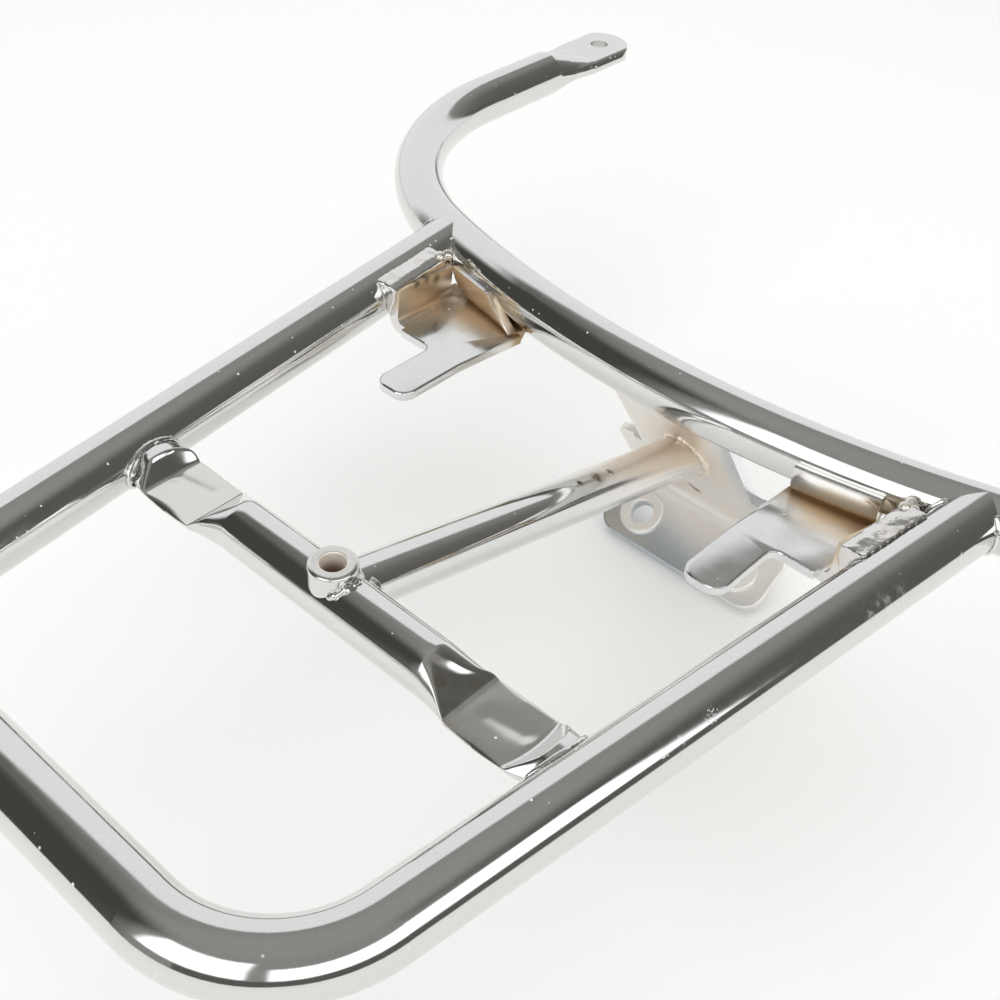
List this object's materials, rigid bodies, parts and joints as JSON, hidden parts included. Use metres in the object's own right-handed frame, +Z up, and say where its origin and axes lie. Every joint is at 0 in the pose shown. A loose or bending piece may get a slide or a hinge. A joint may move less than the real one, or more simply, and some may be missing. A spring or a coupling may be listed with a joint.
{
  "type": "motorcycle luggage rack",
  "caption": "Chromed tubular tail rack with a grab loop round the seat, a crossbar with a case bush, corner hooks and a folded mounting bracket.",
  "frame": {"origin": "middle of the crossbar on the case bush's axis, in the plane of the rail centrelines", "axes": "+X from the left rail to the right rail, +Y forward to the seat, +Z up"},
  "size_m": [0.4442, 0.5096, 0.1347],
  "materials": {
    "chrome_tube": "polished bright chrome with fine pits",
    "chrome_sheet": "bright chrome, straw tint in the folds",
    "chrome_turned": "satin chrome over turned steel",
    "chrome_weld": "chrome over rough weld metal"
  },
  "bodies": {
    "root": {"grab_loop": "chrome_tube", "rack_frame": "chrome_tube", "crossbar": "chrome_tube", "centre_strut": "chrome_tube", "mounting_bracket": "chrome_sheet", "hook_left": "chrome_sheet", "hook_right": "chrome_sheet", "case_bush": "chrome_turned", "bolt_collar_left": "chrome_turned", "bolt_collar_right": "chrome_turned", "weld_rail_left": "chrome_weld", "weld_rail_right": "chrome_weld", "weld_crossbar_left": "chrome_weld", "weld_crossbar_right": "chrome_weld", "weld_bush": "chrome_weld", "weld_strut_rear": "chrome_weld", "weld_strut_front": "chrome_weld", "weld_bracket": "chrome_weld", "weld_hook_left": "chrome_weld", "weld_hook_right": "chrome_weld", "weld_corner_left": "chrome_weld", "weld_corner_right": "chrome_weld", "weld_outer_left": "chrome_weld", "weld_outer_right": "chrome_weld"}
  },
  "joints": []
}
